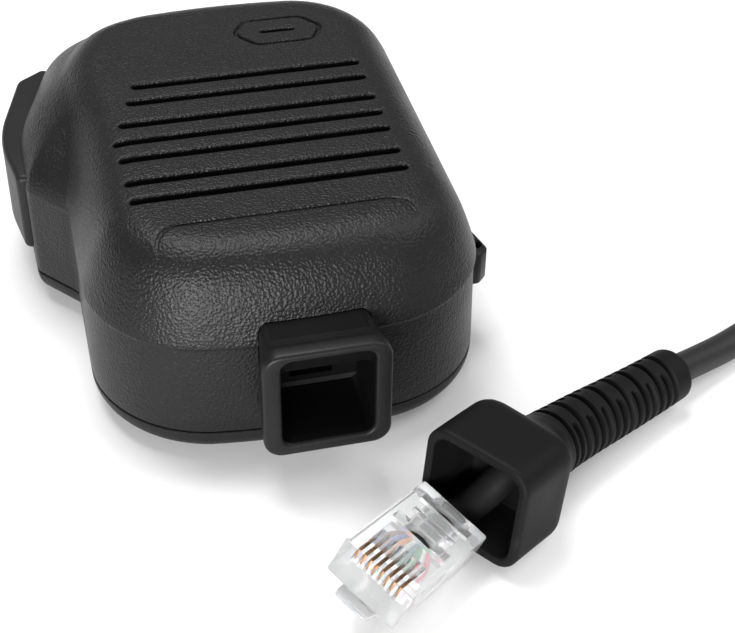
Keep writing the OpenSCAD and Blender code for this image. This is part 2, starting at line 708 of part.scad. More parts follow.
module plug_boot() {
    line = smooth_route(boot_line, 4);
    rounds = concat(rib_out, [[sleeve_end - 0.4, sleeve_r(sleeve_end)], [sleeve_end, sleeve_r(sleeve_end) - 0.5]]);
    color([0.1, 0.1, 0.1]) in_frame() one_skin() difference() {
        loft(concat([for (c = cup_out) section(route_at(line, c[0]), c[1], c[2])],
            [for (c = rounds) section(route_at(line, c[0]), c[1], c[1])]));
        loft([for (c = cup_in) section(route_at(line, c[0]), c[1], c[2])]);
        sweep_tube([for (q = smooth_route(lead_route, 2)) if (q[0] > 21 && q[0] < 66) q], cable_d / 2, 12);
    }
}

module lead_cable() {
    color([0.08, 0.08, 0.08]) in_frame() sweep_tube(smooth_route(lead_route, 2), cable_d / 2, 12);
}

module curly_cord() {
    color([0.08, 0.08, 0.08]) in_frame()
        sweep_tube(moves_path(curly_start, curly_moves, curly_d / 2, 7), curly_d / 2, 12);
}

module tail_cable() {
    color([0.08, 0.08, 0.08]) in_frame() sweep_tube(smooth_route(tail_route, 2), cable_d / 2, 12);
}

// Tapered relief behind the radio plug
module radio_plug_boot() {
    from = radio_plug_place[1] - plug_len;
    z = radio_plug_place[2] + 0.2;
    color([0.1, 0.1, 0.1]) in_frame() one_skin() difference() {
        loft([for (e = [[0, 3.1], [0.6, 3.3], [8, 3.3], [22, 3.05], [22.6, 2.85]])
            section([[radio_plug_place[0], from - e[0], z - max(0, e[0] - 8) * 0.012], [0, -1, 0]], e[1], e[1])]);
        sweep_tube([for (q = smooth_route(tail_route, 2)) if (q[1] > -52 && q[2] > 2.45) q], cable_d / 2, 12);
    }
}

front_shell();
rear_cover();
case_gasket();
case_screws();
connector_collar();
label_plate();
ptt_button();
ptt_pivot_pin();
ptt_return_leaf();
ptt_seal();
ptt_switch();
switch_plunger();
main_pcb();
pcb_screws();
preamp_parts();
mic_capsule();
capsule_holder();
capsule_leads();
port_screen();
grille_cloth();
modular_jack();
jack_contacts();
lanyard_eye();
hanger_stud();
stud_screw();
stud_washer();
plug_body();
plug_contacts();
plug_latch();
plug_wires();
plug_boot();
lead_cable();
curly_cord();
tail_cable();
radio_plug_body();
radio_plug_contacts();
radio_plug_latch();
radio_plug_wires();
radio_plug_boot();
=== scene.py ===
import json
import math

import bpy
import numpy as np
from mathutils import Matrix, Vector
from mathutils.geometry import delaunay_2d_cdt


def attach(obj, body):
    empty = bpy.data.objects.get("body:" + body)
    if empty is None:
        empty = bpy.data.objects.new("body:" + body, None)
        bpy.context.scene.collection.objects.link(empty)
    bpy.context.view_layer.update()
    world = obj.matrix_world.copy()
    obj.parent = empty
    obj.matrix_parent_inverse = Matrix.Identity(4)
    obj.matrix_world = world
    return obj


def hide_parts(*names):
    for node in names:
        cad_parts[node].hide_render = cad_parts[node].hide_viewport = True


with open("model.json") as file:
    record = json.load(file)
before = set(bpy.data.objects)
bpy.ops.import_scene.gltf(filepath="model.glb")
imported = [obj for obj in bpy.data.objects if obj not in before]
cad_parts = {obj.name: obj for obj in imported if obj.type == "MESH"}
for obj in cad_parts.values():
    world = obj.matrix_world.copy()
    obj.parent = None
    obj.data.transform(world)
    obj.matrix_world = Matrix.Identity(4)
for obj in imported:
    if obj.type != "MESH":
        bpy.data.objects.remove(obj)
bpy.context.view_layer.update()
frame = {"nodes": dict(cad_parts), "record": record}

NODES = frame["nodes"]
MM = 1000
SHIFT = np.array([3.8, 9.7, 0.0])  # from the design's millimetres to the row frame


def metres(p):
    return (np.asarray(p, float) + SHIFT) / MM


# ---------- outlines and surfaces, in the design's millimetres ----------


def unit(v):
    return v / np.linalg.norm(v)


def left_of(v):
    return np.array([-v[1], v[0]])


def cross2(a, b):
    return a[0] * b[1] - a[1] * b[0]


def outline(corners, inset=0.0, steps=12):
    """A closed outline with rounded corners, from corners of x, y, radius, moved inwards by inset."""
    n = len(corners)
    at = [np.array(c[:2], float) for c in corners]
    moved, radii = [], []
    for i in range(n):
        a, b, c = at[i - 1], at[i], at[(i + 1) % n]
        nu, nw = left_of(unit(b - a)), left_of(unit(c - b))
        moved.append(b + inset * (nu + nw) / (1 + nu @ nw))
        out = cross2(b - a, c - b) > 0
        radii.append(max(0.25, corners[i][2] + (-inset if out else inset)))
    points = []
    for i in range(n):
        a, b, c = moved[i - 1], moved[i], moved[(i + 1) % n]
        u, w = unit(a - b), unit(c - b)
        half = math.acos(np.clip(u @ w, -1, 1)) / 2
        r = radii[i]
        centre = b + unit(u + w) * r / math.sin(half)
        first = b + u * r / math.tan(half) - centre
        start = math.atan2(first[1], first[0])
        sweep = (math.pi - 2 * half) * (1 if cross2(b - a, c - b) > 0 else -1)
        for k in range(steps + 1):
            t = start + sweep * k / steps
            points.append(centre + r * np.array([math.cos(t), math.sin(t)]))
    return np.array(points)


def level(flat, z):
    """Points of a plan, all at height z."""
    return np.column_stack([flat, np.full(len(flat), float(z))])


def ring(corners, inset, z, steps=12):
    return level(outline(corners, inset, steps), z)


def circle(n):
    """The cosines and sines of n even angles."""
    a = np.arange(n) * 2 * math.pi / n
    return np.cos(a), np.sin(a)


def quarter(steps):
    """Pairs of inset and rise, from 1, 0 to 0, 1, round a quarter of a circle."""
    return [(1 - math.sin(a), 1 - math.cos(a)) for a in np.linspace(0, math.pi / 2, steps)]


def box_corners(x0, x1, y0, y1, r):
    return [(x0, y0, r), (x1, y0, r), (x1, y1, r), (x0, y1, r)]


def distances(line):
    """How far along an open line each of its points lies."""
    return np.concatenate([[0], np.cumsum(np.linalg.norm(np.diff(line, axis=0), axis=1))])


def sampled(line, at):
    """The points of an open line at the given distances along it."""
    along = distances(line)
    return np.column_stack([np.interp(at, along, line[:, k]) for k in range(line.shape[1])])


def spaced(loop, step):
    """A closed loop again, with points about step apart."""
    closed = np.vstack([loop, loop[:1]])
    total = distances(closed)[-1]
    return sampled(closed, np.linspace(0, total, max(8, int(total / step)) + 1)[:-1])


def depth_in(points, loop):
    """How far each point is inside a closed loop; negative outside."""
    best = np.full(len(points), 1e9)
    inside = np.zeros(len(points), bool)
    x, y = points[:, 0], points[:, 1]
    for a, b in zip(loop, np.roll(loop, -1, axis=0)):
        d = b - a
        size = d @ d
        if size < 1e-12:
            continue
        t = np.clip(((x - a[0]) * d[0] + (y - a[1]) * d[1]) / size, 0, 1)
        best = np.minimum(best, np.hypot(x - a[0] - t * d[0], y - a[1] - t * d[1]))
        crosses = (a[1] > y) != (b[1] > y)
        if abs(d[1]) > 1e-12:
            inside ^= crosses & (x < a[0] + (y - a[1]) * d[0] / d[1])
    return np.where(inside, best, -best)


def smooth_route(points, n):
    """A smooth curve through the given points, with n steps between neighbours."""
    p = np.array(points, float)
    out = []
    for i in range(len(p) - 1):
        a, b, c, d = p[max(0, i - 1)], p[i], p[i + 1], p[min(len(p) - 1, i + 2)]
        for k in range(n):
            t = k / n
            out.append(0.5 * (2 * b + (c - a) * t + (2 * a - 5 * b + 4 * c - d) * t * t
                              + (3 * b - a - 3 * c + d) * t ** 3))
    out.append(p[-1])
    return np.array(out)


def evenly(points, step):
    """An open line again, with points about step apart."""
    total = distances(points)[-1]
    return sampled(points, np.linspace(0, total, int(math.ceil(total / step)) + 1))


def triangles(points, edges, mode):
    """A flat triangle mesh over the points, with the given edges in it."""
    flat, _, faces, _, _, _ = delaunay_2d_cdt([Vector(p) for p in points], edges, [], mode, 1e-4)
    flat, faces = np.array([tuple(p) for p in flat]), np.array([tuple(f) for f in faces])
    a, b, c = (flat[faces[:, k]] for k in range(3))
    leftwards = (b - a)[:, 0] * (c - a)[:, 1] - (b - a)[:, 1] * (c - a)[:, 0] > 0
    return flat, np.where(leftwards[:, None], faces, faces[:, ::-1])


def open_edges(faces):
    """The edges that belong to one face only, in its direction."""
    half = {(f[k], f[(k + 1) % 3]): True for f in faces for k in range(3)}
    return [(u, v) for u, v in half if (v, u) not in half]


# ---------- making pieces ----------


def mesh_piece(name, points, faces, material, body="microphone", smooth=35.0):
    data = bpy.data.meshes.new(name)
    data.from_pydata([tuple(p) for p in metres(points)], [], [tuple(int(i) for i in f) for f in faces])
    data.validate()
    data.update()
    piece = bpy.data.objects.new(name, data)
    bpy.context.scene.collection.objects.link(piece)
    soften(piece, smooth)
    if material:
        data.materials.append(material)
    if body:
        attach(piece, body)
    return piece


def soften(piece, angle):
    piece.data.shade_smooth()
    if angle < 180:
        piece.data.set_sharp_from_angle(angle=math.radians(angle))


def loft(rings, caps=(True, True)):
    """Points and faces of a skin through closed rings of equal length."""
    n, m = len(rings[0]), len(rings)
    faces = [(j * n + i, j * n + (i + 1) % n, (j + 1) * n + (i + 1) % n, (j + 1) * n + i)
             for j in range(m - 1) for i in range(n)]
    if caps[0]:
        faces.append(tuple(range(n - 1, -1, -1)))
    if caps[1]:
        faces.append(tuple((m - 1) * n + i for i in range(n)))
    return np.vstack(rings), faces


def outward(points, faces):
    """The same closed skin with its faces turned outwards."""
    volume = 0.0
    for f in faces:
        a = points[f[0]]
        for i in range(1, len(f) - 1):
            volume += a @ np.cross(points[f[i]], points[f[i + 1]])
    return points, faces if volume > 0 else [f[::-1] for f in faces]


def tool(shape):
    """A solid that only shapes another piece, from its points and faces."""
    return mesh_piece("tool", *outward(*shape), None, body=None)


def turned(x, y, profile, n=48):
    """A solid turned about a vertical line, from pairs of radius and height, lowest first."""
    c, s = circle(n)
    return loft([level(np.column_stack([x + r * c, y + r * s]), z) for r, z in profile])


def apply_modifiers(piece):
    bpy.context.view_layer.update()
    graph = bpy.context.evaluated_depsgraph_get()
    result = bpy.data.meshes.new_from_object(piece.evaluated_get(graph))
    piece.modifiers.clear()
    piece.data = result


def carve(piece, shapes, operation="DIFFERENCE"):
    """Cuts solids from a piece, or joins them to it, and applies the result."""
    for other in [tool(shape) for shape in shapes]:
        change = piece.modifiers.new("carve", "BOOLEAN")
        change.operation, change.solver, change.object = operation, "MANIFOLD", other
        apply_modifiers(piece)
        bpy.data.objects.remove(other)


# ---------- materials ----------


def material(name, colour, roughness, grain=(), mottling=0.12, metallic=0.0, transmission=0.0,
             ior=1.5, wear=0.0, rough_range=0.08, specular=0.5):
    """A material whose colour, roughness and fine relief come from its nodes.
    grain holds layers of kind, features per metre, relief in metres and strength."""
    made = bpy.data.materials.new(name)
    made.use_nodes = True
    tree = made.node_tree
    nodes, link = tree.nodes, tree.links.new
    shader = nodes["Principled BSDF"]
    shader.inputs["Metallic"].default_value = metallic
    shader.inputs["Transmission Weight"].default_value = transmission
    shader.inputs["IOR"].default_value = ior
    shader.inputs["Specular IOR Level"].default_value = specular
    place = nodes.new("ShaderNodeTexCoord").outputs["Object"]
    cloud = nodes.new("ShaderNodeTexNoise")
    cloud.inputs["Scale"].default_value = 130
    cloud.inputs["Detail"].default_value = 5
    link(place, cloud.inputs["Vector"])
    blend = nodes.new("ShaderNodeMix")
    blend.data_type = "RGBA"
    blend.inputs["A"].default_value = (*[c * (1 - mottling) for c in colour], 1)
    blend.inputs["B"].default_value = (*[min(1, c * (1 + mottling)) for c in colour], 1)
    link(cloud.outputs["Fac"], blend.inputs["Factor"])
    shade = blend.outputs["Result"]
    if wear:
        edges = nodes.new("ShaderNodeNewGeometry").outputs["Pointiness"]
        limits = nodes.new("ShaderNodeMapRange")
        limits.inputs["From Min"].default_value = 0.53
        limits.inputs["From Max"].default_value = 0.62
        limits.inputs["To Max"].default_value = wear
        link(edges, limits.inputs["Value"])
        rubbed = nodes.new("ShaderNodeMix")
        rubbed.data_type = "RGBA"
        rubbed.inputs["B"].default_value = (*[min(1, c * 2.6 + 0.02) for c in colour], 1)
        link(limits.outputs["Result"], rubbed.inputs["Factor"])
        link(shade, rubbed.inputs["A"])
        shade = rubbed.outputs["Result"]
    link(shade, shader.inputs["Base Color"])
    gloss = nodes.new("ShaderNodeMapRange")
    gloss.inputs["To Min"].default_value = max(0.02, roughness - rough_range)
    gloss.inputs["To Max"].default_value = min(1, roughness + rough_range)
    link(cloud.outputs["Fac"], gloss.inputs["Value"])
    link(gloss.outputs["Result"], shader.inputs["Roughness"])
    normal = None
    for kind, scale, relief, strength in grain:
        if kind == "cells":
            source = nodes.new("ShaderNodeTexVoronoi")
            source.feature = "SMOOTH_F1"
            height = source.outputs["Distance"]
        elif kind == "rings":
            source = nodes.new("ShaderNodeTexWave")
            height = source.outputs["Fac"]
        else:
            source = nodes.new("ShaderNodeTexNoise")
            source.inputs["Detail"].default_value = 4
            height = source.outputs["Fac"]
        source.inputs["Scale"].default_value = scale
        link(place, source.inputs["Vector"])
        bump = nodes.new("ShaderNodeBump")
        bump.inputs["Distance"].default_value = relief
        bump.inputs["Strength"].default_value = strength
        link(height, bump.inputs["Height"])
        if normal:
            link(normal, bump.inputs["Normal"])
        normal = bump.outputs["Normal"]
    if normal:
        link(normal, shader.inputs["Normal"])
    return made


SHELL = material("shell_plastic", (0.006, 0.006, 0.0064), 0.38,
                 [("cells", 2600, 0.00022, 0.6), ("noise", 5200, 0.0001, 0.4)], wear=0.2, specular=0.2)
COVER = material("cover_plastic", (0.007, 0.007, 0.0074), 0.44,
                 [("cells", 2700, 0.00016, 0.45), ("noise", 5200, 0.0001, 0.3)], wear=0.2, specular=0.18)
COLLAR = material("collar_plastic", (0.006, 0.006, 0.0064), 0.4,
                  [("noise", 3200, 0.00006, 0.3)], wear=0.3, specular=0.18)
BUTTON = material("button_plastic", (0.008, 0.008, 0.0084), 0.46,
                  [("noise", 3400, 0.00006, 0.35)], wear=0.3, specular=0.2)
# Near-black inner plastic; where it lines the collar's throat it is painted shade
INNER = material("inner_plastic", (0.002, 0.002, 0.0021), 0.5, [("noise", 2500, 0.00005, 0.2)], specular=0.12)
CLEAR = material("clear_plastic", (0.98, 0.99, 1.0), 0.06, [("noise", 700, 0.00005, 0.1)],
                 mottling=0.02, transmission=0.81, ior=1.46, rough_range=0.03, specular=0.9)
RUBBER = material("soft_rubber", (0.004, 0.004, 0.004), 0.55,
                  [("noise", 2400, 0.00008, 0.3)], wear=0.15, specular=0.1)
JACKET = material("cord_jacket", (0.009, 0.009, 0.0095), 0.5, [("noise", 1800, 0.00005, 0.25)], specular=0.3)
SEAL = material("seal_rubber", (0.009, 0.009, 0.009), 0.7, [("noise", 2500, 0.0001, 0.4)])
STEEL = material("plated_steel", (0.6, 0.6, 0.62), 0.3, [("noise", 3000, 0.00003, 0.25)], metallic=1.0)
STUD = material("stud_metal", (0.52, 0.52, 0.54), 0.26, [("rings", 900, 0.00002, 0.2)], metallic=1.0)
GOLD = material("gold_contact", (0.62, 0.34, 0.17), 0.38, [("noise", 3000, 0.00002, 0.2)], metallic=0.7)
LEAF = material("leaf_metal", (0.7, 0.48, 0.24), 0.33, [("noise", 2200, 0.00003, 0.25)], metallic=1.0)
BOARD = material("board", (0.012, 0.013, 0.012), 0.32, [("cells", 900, 0.00005, 0.2)], mottling=0.25)
CAN = material("capsule_metal", (0.7, 0.7, 0.72), 0.3, [("noise", 2500, 0.00003, 0.25)], metallic=1.0)
CLOTH = material("cloth", (0.004, 0.004, 0.004), 0.95,
                 [("rings", 2600, 0.0001, 0.6), ("noise", 5000, 0.0001, 0.5)])
IVORY = material("ivory_plastic", (0.72, 0.68, 0.58), 0.4, [("noise", 2500, 0.00004, 0.2)])
FILM = material("label_film", (0.006, 0.006, 0.0064), 0.38,
                [("cells", 2600, 0.0002, 0.55), ("noise", 5200, 0.0001, 0.4)], specular=0.2)
FLOOR = material("floor_paper", (0.74, 0.74, 0.74), 0.8, [("noise", 400, 0.0001, 0.1)], mottling=0.01)

BY_SLOT = {
    "shell_plastic": SHELL, "cover_plastic": COVER, "collar_plastic": COLLAR, "button_plastic": BUTTON,
    "inner_plastic": INNER, "clear_plastic": CLEAR, "soft_rubber": RUBBER, "cord_jacket": JACKET,
    "seal_rubber": SEAL, "plated_steel": STEEL, "stud_metal": STUD, "gold_contact": GOLD,
    "leaf_metal": LEAF, "board": BOARD, "capsule_metal": CAN, "cloth": CLOTH, "ivory_plastic": IVORY,
    "label_film": FILM,
}
WIRES = {}
for wire_name, wire_colour in {
    "orange": (0.8, 0.25, 0.04), "white": (0.85, 0.85, 0.83), "pink": (0.75, 0.2, 0.28),
    "green": (0.06, 0.35, 0.14), "teal": (0.03, 0.2, 0.24), "brown": (0.16, 0.06, 0.03),
    "blue": (0.05, 0.12, 0.45),
}.items():
    WIRES[wire_name] = material("wire_" + wire_name, wire_colour, 0.38, [("noise", 2500, 0.00003, 0.2)])
BY_SLOT["wire_skin"] = WIRES["pink"]

for part in frame["record"]["subparts"]:
    shown = NODES[part["node"]]
    shown.data.materials.clear()
    shown.data.materials.append(BY_SLOT[part["material_slot"]])

# ---------- camera, floor and light ----------

camera_data = bpy.data.cameras.new("camera")
camera = bpy.data.objects.new("camera", camera_data)
bpy.context.scene.collection.objects.link(camera)
bpy.context.scene.camera = camera
camera_data.sensor_width = 36
camera_data.lens = 77.80
azimuth, elevation, roll = (math.radians(v) for v in (-14.2937, 39.1781, 0.8257))
back = Vector((math.sin(azimuth) * math.cos(elevation), -math.cos(azimuth) * math.cos(elevation),
               math.sin(elevation)))
right = Vector((0, 0, 1)).cross(back).normalized()
up = back.cross(right)
right, up = (right * math.cos(roll) + up * math.sin(roll), up * math.cos(roll) - right * math.sin(roll))
turn = Matrix((right, up, back)).transposed().to_4x4()
camera.matrix_world = Matrix.Translation((-0.03160, -0.20627, 0.16485)) @ turn

floor_data = bpy.data.meshes.new("floor")
floor_data.from_pydata([(-3, -3, 0), (3, -3, 0), (3, 3, 0), (-3, 3, 0)], [], [(0, 1, 2, 3)])
floor = bpy.data.objects.new("floor", floor_data)
floor.location.z = -0.0002
bpy.context.scene.collection.objects.link(floor)
floor_data.materials.append(FLOOR)

world = bpy.data.worlds.new("studio")
world.use_nodes = True
world.node_tree.nodes["Background"].inputs["Color"].default_value = (1, 1, 1, 1)
world.node_tree.nodes["Background"].inputs["Strength"].default_value = 0.34
bpy.context.scene.world = world
bpy.context.scene.view_settings.view_transform = "Standard"


def softbox(name, place, aim, size, power):
    light = bpy.data.lights.new(name, "AREA")
    light.shape, light.size, light.size_y, light.energy = "RECTANGLE", size[0], size[1], power
    lamp = bpy.data.objects.new(name, light)
    bpy.context.scene.collection.objects.link(lamp)
    lamp.location = place
    lamp.rotation_mode = "QUATERNION"
    lamp.rotation_quaternion = (Vector(place) - Vector(aim)).to_track_quat("Z", "Y")


softbox("key", (-0.1, 0.35, 1.1), (0, 0, 0.02), (0.6, 0.6), 13)
softbox("fill", (0.7, -0.1, 0.8), (0.02, 0, 0.02), (0.8, 0.8), 6)
softbox("rim", (-0.25, -0.6, 0.16), (0, -0.04, 0.02), (0.5, 0.09), 8)

# ---------- the lead ----------

LEAD_ROUTE = [
    (6.86, -77.13, 6.92), (8.92, -75.24, 6.14), (11.05, -73.29, 5.34), (13.2, -71.4, 4.6), (16, -69.6, 4.3),
    (19.4, -68, 5), (23.4, -66.4, 6.8), (27.6, -64.7, 7.9), (31.6, -61.9, 7.1), (37.6, -58.5, 6.3),
    (43.6, -55.4, 5.6), (49.8, -52.2, 5), (56.2, -48.8, 4.5), (61, -46.3, 3.6), (66, -43.8, 2.8),
    (71, -41.2, 2.4), (78, -37.7, 2.4), (85, -34.1, 2.4), (92, -30.5, 2.4),
]
CURLY_START = (92, -30.5, 27.2)
CURLY_MOVES = ((16, 0), (37.3, 62.8), (84.8, -180), (58, 0))
CURLY_Z = 7.5
CURLY_R = 5.1
CABLE = 4.8
TAIL_ROUTE = [
    (178.6, -51, 2.4), (178.6, -57, 2.4), (177.4, -63.5, 2.4), (173.6, -69, 2.4), (168, -72.7, 2.4),
    (161.8, -74, 2.4), (155.6, -72.7, 2.4), (150, -69, 2.4), (146.2, -63.5, 2.4), (145, -57, 2.4),
    (145, -50, 2.5), (145, -44, 2.8), (145, -38, 3.2), (145, -30, 3.35), (145, -22.5, 3.35),
    (145, -13.7, 3.35),
]


def curly_route(step=0.25):
    """The middle line of the wound cable: a helix round the curly stretch's own middle line."""
    x, y, heading = CURLY_START[0], CURLY_START[1], math.radians(CURLY_START[2])
    centres, headings, bends = [], [], []
    for length, bend in CURLY_MOVES:
        n = int(round(length / step))
        for _ in range(n):
            centres.append((x, y))
            headings.append(heading)
            bends.append(abs(bend) / length)
            heading += math.radians(bend) / n / 2
            x += length / n * math.cos(heading)
            y += length / n * math.sin(heading)
            heading += math.radians(bend) / n / 2
    centres.append((x, y))
    headings.append(heading)
    bends.append(0)
    n = len(centres)
    # Turns are a little wider apart in the bends and at both ends
    pitch = 5.15 + 0.45 * np.array(bends)
    pitch = np.convolve(np.pad(pitch, 20, mode="edge"), np.ones(41) / 41, mode="valid")
    ends = np.minimum(np.arange(n), np.arange(n)[::-1]) * step
    rate = np.clip(ends / 7, 0.0, 1) / pitch
    phase = np.concatenate([[0], np.cumsum((rate[1:] + rate[:-1]) / 2 * step)])
    phase *= round(phase[-1]) / phase[-1]
    out = []
    for (cx, cy), h, t in zip(centres, headings, phase * 2 * math.pi):
        side = -math.sin(t) * CURLY_R
        out.append((cx - math.sin(h) * side, cy + math.cos(h) * side, CURLY_Z - CURLY_R * math.cos(t)))
    return np.array(out)


wound = curly_route()
lead = evenly(smooth_route(LEAD_ROUTE, 6), 1.2)
tail = evenly(smooth_route(TAIL_ROUTE, 6), 1.2)
lead_line = np.vstack([lead[:-1], wound, tail[1:]])
lead_line[:, 2] = np.maximum(lead_line[:, 2], CABLE / 2)


def cord_piece(name, line, diameter, skin):
    data = bpy.data.curves.new(name, "CURVE")
    data.dimensions = "3D"
    spline = data.splines.new("POLY")
    spline.points.add(len(line) - 1)
    for point, p in zip(spline.points, metres(line)):
        point.co = (*p, 1)
    data.bevel_depth = diameter / 2 / MM
    data.bevel_resolution = 4
    data.use_fill_caps = True
    data.materials.append(skin)
    piece = bpy.data.objects.new(name, data)
    bpy.context.scene.collection.objects.link(piece)
    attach(piece, "microphone")
    return piece


cord = cord_piece("lead_cord", lead_line, CABLE, JACKET)
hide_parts("lead_cable", "curly_cord", "tail_cable")

# ---------- the boot behind the microphone's plug ----------

BOOT_LINE = [
    (15.8, -73, 9.9), (19.7, -70.2, 9.3), (23.6, -67.4, 8.6), (27.6, -64.7, 7.9), (31.6, -61.9, 7.1),
    (37.6, -58.5, 6.3), (43.6, -55.4, 5.6), (49.8, -52.2, 5), (56.2, -48.8, 4.5),
]
BOOT_END, BOOT_TIP, BOOT_SIDES = 47.0, 1.2, 120
SLEEVE_FROM, SLEEVE_R = 21, 4.95
GROOVE_FIRST, GROOVE_STEP, GROOVES, GROOVE_DEEP = 18.4, 1.72, 15, 1.05
# The cup's outside: distance from the mouth, half width and corner radius
CUP_MOUTH = (7.7, 2.6)
CUP = np.array([
    (0.0, 8.05, 2.9), (0.12, 8.3, 3.1), (0.4, 8.46, 3.3), (0.8, 8.5, 3.4), (9.6, 8.5, 3.4),
    (10.4, 8.42, 3.4), (11.1, 8.2, 3.4), (11.8, 7.8, 3.5), (12.5, 7.2, 3.8), (13.3, 6.5, 4.2),
    (14.2, 5.9, 4.6), (15.2, 5.5, 5.0), (16.6, 5.25, 5.2), (18, 5.12, 5.1), (21, 4.95, 4.94),
])
# Its inside, from the mouth to the hole for the cable
CUP_INSIDE = ((0, 7.35, 2.3), (0.15, 7.15, 2.2), (0.5, 7.08, 2.2), (8.2, 6.9, 2.2), (9.4, 6.3, 2.4),
              (10.1, 4.6, 3), (10.4, 2.75, 2.7), (12.5, 2.5, 2.49))


def at_distance(line, s):
    """The line's point at distance s along it, and its direction there."""
    along = distances(line)
    p = np.array([np.interp(s, along, line[:, k]) for k in range(3)])
    i = int(np.clip(np.searchsorted(along, s) - 1, 0, len(line) - 2))
    blur = min(3, i, len(line) - 2 - i)
    return p, unit(line[i + 1 + blur] - line[i - blur])


def across(p, d, r, n):
    """n points about p, square to the direction d, at the distances r."""
    side = unit(np.cross([0, 0, 1], d))
    c, s = circle(n)
    return p + np.outer(r * c, side) + np.outer(r * s, np.cross(d, side))


def square_section(half, radius, n):
    """Distances from the middle of a rounded square to its edge, at n even angles."""
    radius = min(radius, half - 0.01)
    flat = half - radius
    out = []
    for c, s in zip(*circle(n)):
        r = half / max(abs(c), abs(s))
        x, y = abs(c) * r, abs(s) * r
        if x > flat and y > flat:
            b = flat * (abs(c) + abs(s))
            r = b + math.sqrt(max(0, b * b - 2 * flat * flat + radius * radius))
        out.append(r)
    return np.array(out)


def groove(s):
    """How deep the sleeve is cut at distance s, at each of its angles: staggered slots."""
    angle = np.arange(BOOT_SIDES) * 2 * math.pi / BOOT_SIDES
    k = np.round((s - GROOVE_FIRST) / GROOVE_STEP)
    if k < 0 or k >= GROOVES:
        return np.zeros_like(angle)
    off = abs(s - GROOVE_FIRST - k * GROOVE_STEP)
    along = np.clip((0.5 - off) / 0.16, 0, 1)
    if k % 2 == 0:
        return GROOVE_DEEP * along * np.ones_like(angle)
    round_off = np.abs((angle + math.pi / 2) % math.pi - math.pi / 2)
    return GROOVE_DEEP * along * np.clip((math.radians(62) - round_off) / 0.07, 0, 1)


def boot_piece():
    n = BOOT_SIDES
    line = evenly(smooth_route(BOOT_LINE, 12), 0.3)

    def section(s, r):
        return across(*at_distance(line, s), r, n)

    rings = [section(s, square_section(half, radius, n)) for s, half, radius in CUP_INSIDE[::-1]]
    tip = BOOT_END - BOOT_TIP
    along = np.concatenate([[0, 0, 0.12, 0.25, 0.4, 0.8], np.arange(1.6, 9.6, 1.0),
                            np.arange(9.6, 16.8, 0.3), np.arange(16.8, tip, 0.12),
                            tip + BOOT_TIP * np.sin(np.linspace(0, math.pi / 2, 9))])
    for i, s in enumerate(along):
        if i == 0:
            r = square_section(*CUP_MOUTH, n)
        elif s < SLEEVE_FROM:
            r = square_section(*(np.interp(s, CUP[:, 0], CUP[:, k]) for k in (1, 2)), n)
        else:
            end = max(0.0, (s - tip) / BOOT_TIP)
            half = SLEEVE_R - 0.8 * (s - SLEEVE_FROM) / (BOOT_END - SLEEVE_FROM)
            half -= BOOT_TIP * (1 - math.sqrt(max(0, 1 - end * end)))
            r = np.full(n, max(half, 2.55))
        rings.append(section(s, r - groove(s)))
    # The far end closes onto the cable
    rings.append(section(BOOT_END, np.full(n, 2.3)))
    piece = mesh_piece("boot", *loft(rings, caps=(False, False)), RUBBER, smooth=38)
    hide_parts("plug_boot")
    return piece


boot = boot_piece()

# ---------- the plugs ----------

PLUG_W, PLUG_H, PLUG_LEN = 11.68, 6.2, 20.0
WAYS = [(k - 3.5) * 1.02 for k in range(8)]
CORES = ("pink", "white", "green", "teal", "white", "orange", "blue", "brown")
# The latch: distance from its hinge, half width and its two heights, from the root to the tip
LATCH = ((-2.9, 2.0, -0.75, -0.45), (-2.7, 2.5, -0.95, -0.25), (-2.2, 2.8, -1.05, -0.12),
         (4.2, 3.1, -1.05, -0.1), (4.9, 2.9, -1.05, -0.1), (5.6, 1.7, -1.05, -0.1),
         (13.6, 1.6, -1.05, -0.1), (14.5, 1.5, -0.95, -0.25))
LATCH_LEAN = math.radians(6)


def turn_y(b):
    return np.array([[math.cos(b), 0, math.sin(b)], [0, 1, 0], [-math.sin(b), 0, math.cos(b)]])


def plug_turn(place, angles):
    """From a plug's own millimetres to the design's."""
    a, b, c = (math.radians(v) for v in angles)
    rx = np.array([[1, 0, 0], [0, math.cos(a), -math.sin(a)], [0, math.sin(a), math.cos(a)]])
    rz = np.array([[math.cos(c), -math.sin(c), 0], [math.sin(c), math.cos(c), 0], [0, 0, 1]])
    return rz @ turn_y(-b) @ rx, np.array(place, float)


def block(x0, x1, y0, y1, z0, z1, bevel=0.0):
    """A block with bevelled edges, as points and faces."""
    if not bevel:
        return loft([level([(x0, y0), (x1, y0), (x1, y1), (x0, y1)], z) for z in (z0, z1)])
    b, c = bevel, bevel * 0.3
    return loft([ring(box_corners(x0 + i, x1 - i, y0 + i, y1 - i, max(0.01, b)), 0, z, 3)
                 for z, i in ((z0, b), (z0 + c, c), (z0 + b, 0), (z1 - b, 0), (z1 - c, c), (z1, b))])


